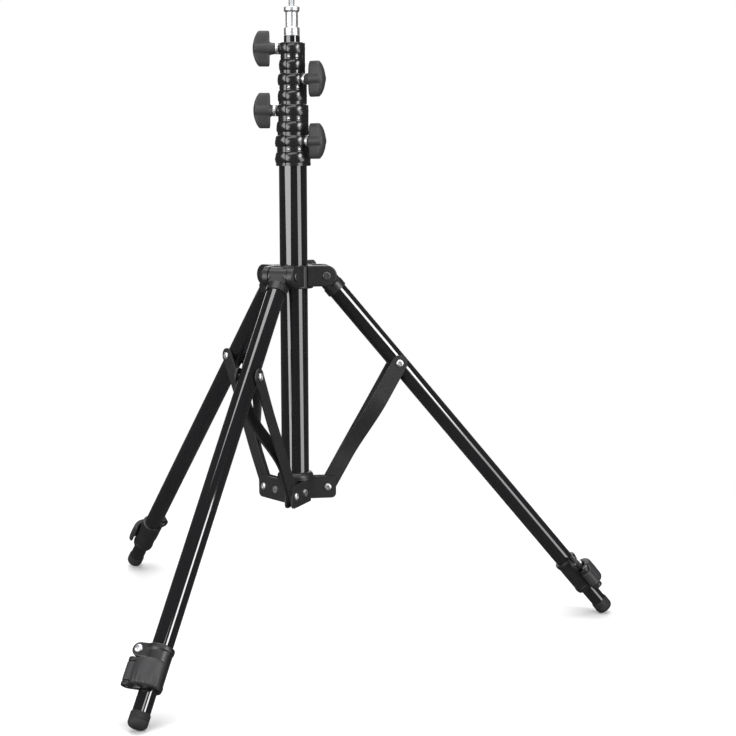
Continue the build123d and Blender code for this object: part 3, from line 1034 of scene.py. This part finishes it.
class STAND_OT_leg_fasteners(bpy.types.Operator):
    """Makes each leg's brace pin, clamp screw and lever pin"""

    bl_idname = "stand.leg_fasteners"
    bl_label = "Leg fasteners"

    def execute(self, context):
        for leg in LEGS:
            node = f"leg_fasteners_{leg}"
            matrix = leg_matrix(leg)
            grip_half = 12.05 * MM
            pin = rod("pin", PIN_RADIUS, -grip_half, grip_half)
            near = screw_head("near", HEAD_RADIUS, 2.2 * MM, "hexagon")
            far = screw_head("far", HEAD_RADIUS, 2.2 * MM, "hexagon")
            placed(near, shift(z=grip_half))
            placed(far, turn(180, "X") @ shift(z=grip_half))
            bolt = joined("bolt", [pin, near, far])
            placed(bolt, shift(z=brace_reach()) @ turn(90, "X"))
            shank = rod("shank", 2.0 * MM, 0.2 * MM, 9 * MM)
            head = placed(screw_head("head", HEAD_RADIUS, 2.6 * MM, "cross"), shift(z=9 * MM))
            screw = placed(joined("screw", [shank, head]), ear_matrix())
            hinge = lever_place(leg)
            start, end = LEVER_SPAN
            lever_pin = rod("lever_pin", 1.5 * MM, start + 0.2 * MM, end - 0.2 * MM, 0.3 * MM)
            placed(lever_pin, shift(hinge.x, hinge.y))
            piece = joined(f"{node}_turned", [bolt, screw, lever_pin])
            show(placed(piece, matrix), f"leg_{leg}", node)
        return {"FINISHED"}


class STAND_OT_spreader_bolts(bpy.types.Operator):
    """Makes the spreader's hollow rivets and the bolts that the braces turn on"""

    bl_idname = "stand.spreader_bolts"
    bl_label = "Spreader bolts"

    def execute(self, context):
        pieces = []
        for leg in LEGS:
            place = joint_place(f"fold_{leg}")
            across = -Vector(JOINTS[f"fold_{leg}"]["axis"])
            out = Vector(JOINTS[f"leg_extend_{leg}"]["axis"])
            out.z = 0
            out.normalize()
            half = PLATE_HALF
            pin = rod("pin", PIN_RADIUS, -half, half)
            heads = []
            for side in (0, 180):
                head = screw_head("head", HEAD_RADIUS, 2.0 * MM, "hexagon")
                heads.append(placed(head, turn(side, "X") @ shift(z=half)))
            pieces.append(placed(joined("bolt", [pin, *heads]), aimed(place, across)))
            tip = half + 1.6 * MM
            bore, shank, crown, rim = 0.9 * MM, 1.5 * MM, 3.5 * MM, 3.7 * MM
            profile = [(bore, -tip), (crown, -tip), (rim, -half), (shank, -half)]
            profile += [(shank, half), (rim, half), (crown, tip), (bore, tip)]
            rivet = mesh_object("rivet", lathe(profile, 40, closed=True))
            pieces.append(placed(rivet, aimed(place - out * RIVET_BACK, across)))
        show(joined("spreader_bolts_turned", pieces), "column", "spreader_bolts")
        return {"FINISHED"}


# --- Leg clamps, levers and feet ---
CLAMP_RADIUS = 12.0 * MM
EAR_FACES = (0.1 * MM, 8.9 * MM)
EAR_RADIUS = 6.6 * MM
KNUCKLE_LENGTH = 4 * MM
LEVER_PIN_HOLE = 1.6 * MM


def lever_place(leg):
    """The lever's hinge in the leg's own coordinates."""
    return leg_matrix(leg).inverted() @ joint_place(f"lever_flip_{leg}")


def clamp_piece(leg):
    """Moulded clamp: rimmed sleeve, screw ear and the lever's knuckles, then its bores and slit."""
    sizes = bpy.context.scene.stand_sizes
    node = f"leg_clamp_{leg}"
    matrix = leg_matrix(leg)
    low, high = local_span(node, matrix)
    start = low.z
    end = high.z - 1.6 * MM
    profile = [
        (ON_AXIS, start),
        (CLAMP_RADIUS, start),
        (CLAMP_RADIUS, start + 4.5 * MM),
        (CLAMP_RADIUS - 0.8 * MM, start + 5.5 * MM),
        (CLAMP_RADIUS - 0.8 * MM, end - 6 * MM),
        (CLAMP_RADIUS - 0.1 * MM, end - 5 * MM),
        (CLAMP_RADIUS - 0.9 * MM, end),
        (ON_AXIS, end),
    ]
    sleeve = mesh_object("sleeve", lathe(rounded(profile, 0.9 * MM), 72))
    lobe = placed(rod("lobe", EAR_RADIUS, *EAR_FACES, 0.9 * MM), ear_matrix())
    outline = rectangle(*EAR_FACES, -6.5 * MM, 6.5 * MM)
    bridge = placed(mesh_object("bridge", extruded(outline, 2 * MM, EAR_OUT)), shift(z=EAR_ALONG))
    hinge = lever_place(leg)
    shapes = [sleeve, lobe, bridge]
    first, last = LEVER_SPAN
    for base in (first, last - KNUCKLE_LENGTH):
        eye = rod("eye", 5.5 * MM, base, base + KNUCKLE_LENGTH, 0.6 * MM)
        shapes.append(placed(eye, shift(hinge.x, hinge.y)))
        web = rectangle(2.5 * MM, hinge.x, base, base + KNUCKLE_LENGTH)
        shapes.append(mesh_object("web", extruded(web, 4 * MM, hinge.y)))
    piece = moulded(f"{node}_moulded", shapes, sizes.mould_grain, 4)
    tube_end = local_span(f"leg_tube_{leg}", matrix)[1].z
    bores = (("upper_bore", 9.45 * MM, tube_end + 0.4 * MM), ("lower_bore", 8.3 * MM, end + 5 * MM))
    for name, radius, bore_end in bores:
        piece = cut(piece, rod(name, radius, start - 2 * MM, bore_end, segments=96))
    slit = rectangle(3.7 * MM, 4.9 * MM, start - 4 * MM, EAR_ALONG + 7.2 * MM)
    piece = cut(piece, mesh_object("slit", extruded(slit, 8 * MM, 26 * MM)))
    screw_hole = rod("screw_hole", 2.1 * MM, -2 * MM, 12 * MM)
    piece = cut(piece, placed(screw_hole, ear_matrix()))
    pin_hole = rod("pin_hole", LEVER_PIN_HOLE, first - 1 * MM, last + 1 * MM)
    return placed(cut(piece, placed(pin_hole, shift(hinge.x, hinge.y))), matrix)


def lever_piece(leg):
    """Flip lever: barrel on its pin, narrow neck, curved paddle with grip ribs."""
    sizes = bpy.context.scene.stand_sizes
    node = f"clamp_lever_{leg}"
    matrix = leg_matrix(leg)
    low, high = local_span(node, matrix)
    middle = (low.z + high.z) / 2
    full_half = (high.z - low.z) / 2
    first, last = LEVER_SPAN
    neck_half = (last - first) / 2 - 4.5 * MM
    hinge = lever_place(leg)
    inside = 13.0 * MM

    def build(draft):
        rings = []
        steps = 84
        around = 36
        for step in range(steps + 1):
            share = step / steps
            bearing = 60 - 120 * share
            spin = radians(bearing)
            widen = min(1.0, max(0.0, (42 - bearing) / 4))
            half = neck_half + (full_half - neck_half) * widen
            tip = 1 - max(0.0, (share - 0.82) / 0.18) ** 2.2 * 0.55
            outside = inside + (5.6 + 1.9 * sin(pi * min(1.0, share * 1.15)) ** 1.2) * MM * tip
            ribs = sizes.rib_height * (0.5 - 0.5 * cos(2 * pi * spin / sizes.rib_pitch))
            ribbed = 1.0 if 0.3 < share < 0.95 else 0.0
            ring = []
            for corner in range(around):
                lap = 2 * pi * corner / around
                x, z = squared_circle(lap, 0.35)
                gripped = ribbed if z > 0.3 and x > 0 else 0.0
                reach = (inside + outside) / 2 + (outside - inside) / 2 * x - ribs * gripped
                along = middle + z * half * (0.86 + 0.14 * tip)
                ring.append(draft.verts.new((reach * cos(spin), reach * sin(spin), along)))
            rings.append(ring)
        skin(draft, rings)

    paddle = mesh_object("paddle", build)
    barrel = rod("barrel", 5.6 * MM, middle - neck_half, middle + neck_half, 0.7 * MM)
    placed(barrel, shift(hinge.x, hinge.y))
    piece = moulded(f"{node}_moulded", [paddle, barrel], sizes.mould_grain, 2)
    bore = placed(rod("bore", LEVER_PIN_HOLE, first, last), shift(hinge.x, hinge.y))
    return placed(cut(piece, bore), matrix)


class STAND_OT_leg_clamps(bpy.types.Operator):
    """Moulds the legs' clamps and their flip levers"""

    bl_idname = "stand.leg_clamps"
    bl_label = "Leg clamps"

    def execute(self, context):
        for leg in LEGS:
            show(clamp_piece(leg), f"leg_{leg}", f"leg_clamp_{leg}")
            show(lever_piece(leg), f"clamp_lever_{leg}", f"clamp_lever_{leg}")
        return {"FINISHED"}


class STAND_OT_feet(bpy.types.Operator):
    """Makes the legs' ribbed rubber feet"""

    bl_idname = "stand.feet"
    bl_label = "Feet"

    def execute(self, context):
        for leg in LEGS:
            node = f"leg_foot_{leg}"
            matrix = leg_matrix(leg)
            low, high = local_span(node, matrix)
            radius = high.x
            bore = 8.05 * MM
            depth = low.z + 8 * MM
            profile = [(bore, depth), (bore, low.z), (radius - 0.3 * MM, low.z)]
            for groove in range(3):
                base = low.z + (1.6 + 2.0 * groove) * MM
                profile += [(radius, base - 0.7 * MM), (radius, base)]
                profile += [(radius - 0.45 * MM, base + 0.35 * MM), (radius, base + 0.7 * MM)]
            centre = radius - 5.0 * MM
            for step in range(13):
                spin = pi / 2 * step / 12
                profile.append((centre + 5 * MM * cos(spin), high.z - 5 * MM + 5 * MM * sin(spin)))
            profile.append((ON_AXIS, high.z))
            profile.insert(0, (ON_AXIS, depth))
            piece = mesh_object(f"{node}_moulded", lathe(profile, 72))
            show(placed(piece, matrix), f"lower_leg_{leg}", node, crease=40)
        return {"FINISHED"}


# --- Studio ---
FLOOR_RADIUS = 6.0
FLOOR_DEPTH = 0.02
# Name, bearing in degrees, height, distance, width and length in metres, watts, and how far
# above its own height the lamp aims.
LAMPS = (
    ("left_softbox", -56, 0.75, 2.4, 1.4, 2.6, 62, 0.0),
    ("low_right_softbox", 51, 0.1, 2.4, 1.9, 1.0, 24, 0.0),
    ("high_right_softbox", 45, 1.25, 2.4, 0.75, 1.2, 36, 0.0),
    ("front_softbox", -14, 1.95, 2.2, 3.0, 0.4, 18, -1.5),
    ("back_softbox", 180, 1.3, 2.6, 2.4, 1.6, 30, -0.5),
    ("top_softbox", 0, 2.6, 0.01, 2.0, 2.0, 60, 0.0),
)


def softbox(name, bearing, height, distance, width, tall, power, tilt):
    """A large lamp at a bearing from the camera's side, facing the column."""
    lamp = bpy.data.lights.new(name, "AREA")
    lamp.shape = "RECTANGLE"
    lamp.size = width
    lamp.size_y = tall
    lamp.energy = power
    box = bpy.data.objects.new(name, lamp)
    spin = radians(bearing)
    box.location = (distance * sin(spin), -distance * cos(spin), height)
    target = Vector((0, 0, height + tilt))
    box.rotation_euler = (target - box.location).to_track_quat("-Z", "Z").to_euler()
    box.visible_camera = False
    bpy.context.scene.collection.objects.link(box)
    return box


def studio_floor(colours):
    """A pale disc that fades into the background far from the stand."""
    outline = rectangle(ON_AXIS, FLOOR_RADIUS, -FLOOR_DEPTH, 0.0)
    disc = mesh_object("floor", lathe(outline, 128))
    finish = Finish("floor_paint", colours.floor, 0.6)
    spot = finish.place((1, 1, 0))
    length = finish.vector("LENGTH", {0: spot})
    far = Signal(finish, length.outputs["Value"]).between(0.5, 1.0)
    grain = finish.noise(6, 3)
    finish.set(Base_Color=finish.tint(grain * 0.3, colours.floor, shade_scaled(colours.floor, 1.03)))
    clear = finish.node("ShaderNodeBsdfTransparent")
    fade = finish.node("ShaderNodeMixShader", None, {0: far})
    finish.tree.links.new(finish.shader.outputs[0], fade.inputs[1])
    finish.tree.links.new(clear.outputs[0], fade.inputs[2])
    output = finish.tree.nodes["Material Output"]
    finish.tree.links.new(fade.outputs[0], output.inputs["Surface"])
    disc.data.materials.append(finish.material)
    disc.visible_glossy = False


def studio_world():
    """White behind the stand, dim in its reflections, so that the lamps draw the highlights."""
    world = bpy.data.worlds.new("studio")
    world.use_nodes = True
    tree = world.node_tree
    background = tree.nodes["Background"]
    background.inputs["Color"].default_value = (0.09, 0.09, 0.092, 1)
    white = tree.nodes.new("ShaderNodeBackground")
    white.inputs["Color"].default_value = (1, 1, 1, 1)
    path = tree.nodes.new("ShaderNodeLightPath")
    mix = tree.nodes.new("ShaderNodeMixShader")
    tree.links.new(path.outputs["Is Camera Ray"], mix.inputs[0])
    tree.links.new(background.outputs[0], mix.inputs[1])
    tree.links.new(white.outputs[0], mix.inputs[2])
    tree.links.new(mix.outputs[0], tree.nodes["World Output"].inputs["Surface"])
    bpy.context.scene.world = world


def studio_camera(sizes):
    lens = bpy.data.cameras.new("camera")
    lens.lens = sizes.camera_lens
    lens.sensor_width = 36
    lens.clip_start = 0.01
    camera = bpy.data.objects.new("camera", lens)
    back = shift(0, -sizes.camera_distance, sizes.camera_height)
    stand = turn(degrees(-sizes.camera_bearing), "Z") @ back
    heading = Matrix.Rotation(-sizes.camera_heading, 4, "Z")
    pitch = Matrix.Rotation(pi / 2 - sizes.camera_pitch, 4, "X")
    matrix = heading @ pitch @ Matrix.Rotation(sizes.camera_roll, 4, "Z")
    matrix.translation = stand.translation
    camera.matrix_world = matrix
    bpy.context.scene.collection.objects.link(camera)
    bpy.context.scene.camera = camera


class STAND_OT_stage(bpy.types.Operator):
    """Lays the floor and sets the lamps, the background and the camera"""

    bl_idname = "stand.stage"
    bl_label = "Studio"

    def execute(self, context):
        settings = context.scene
        settings.view_settings.view_transform = "Standard"
        studio_floor(settings.stand_colours)
        studio_world()
        for lamp in LAMPS:
            box = softbox(*lamp)
        box.rotation_euler = (0, 0, 0)  # the last lamp is overhead and looks straight down
        studio_camera(settings.stand_sizes)
        return {"FINISHED"}


# --- Add-on ---
STEPS = (
    STAND_OT_tubes,
    STAND_OT_mouldings,
    STAND_OT_glides,
    STAND_OT_braces,
    STAND_OT_knobs,
    STAND_OT_spigot,
    STAND_OT_screws,
    STAND_OT_leg_fasteners,
    STAND_OT_spreader_bolts,
    STAND_OT_leg_clamps,
    STAND_OT_feet,
    STAND_OT_stage,
)


class STAND_PT_panel(bpy.types.Panel):
    """Buttons for the stand's pieces, in the order in which they are made"""

    bl_label = "Lighting stand"
    bl_idname = "STAND_PT_panel"
    bl_space_type = "VIEW_3D"
    bl_region_type = "UI"
    bl_category = "Stand"

    def draw(self, context):
        for settings in (context.scene.stand_colours, context.scene.stand_sizes):
            for name in settings.__annotations__:
                self.layout.prop(settings, name)
        for step in STEPS:
            self.layout.operator(step.bl_idname)


CLASSES = (StandColours, StandSizes, *STEPS, STAND_PT_panel)


def register():
    for part in CLASSES:
        bpy.utils.register_class(part)
    bpy.types.Scene.stand_colours = bpy.props.PointerProperty(type=StandColours)
    bpy.types.Scene.stand_sizes = bpy.props.PointerProperty(type=StandSizes)


def unregister():
    del bpy.types.Scene.stand_sizes
    del bpy.types.Scene.stand_colours
    for part in reversed(CLASSES):
        bpy.utils.unregister_class(part)


def main():
    register()
    for step in STEPS:
        family, name = step.bl_idname.split(".")
        getattr(getattr(bpy.ops, family), name)()


if __name__ == "__main__":
    main()
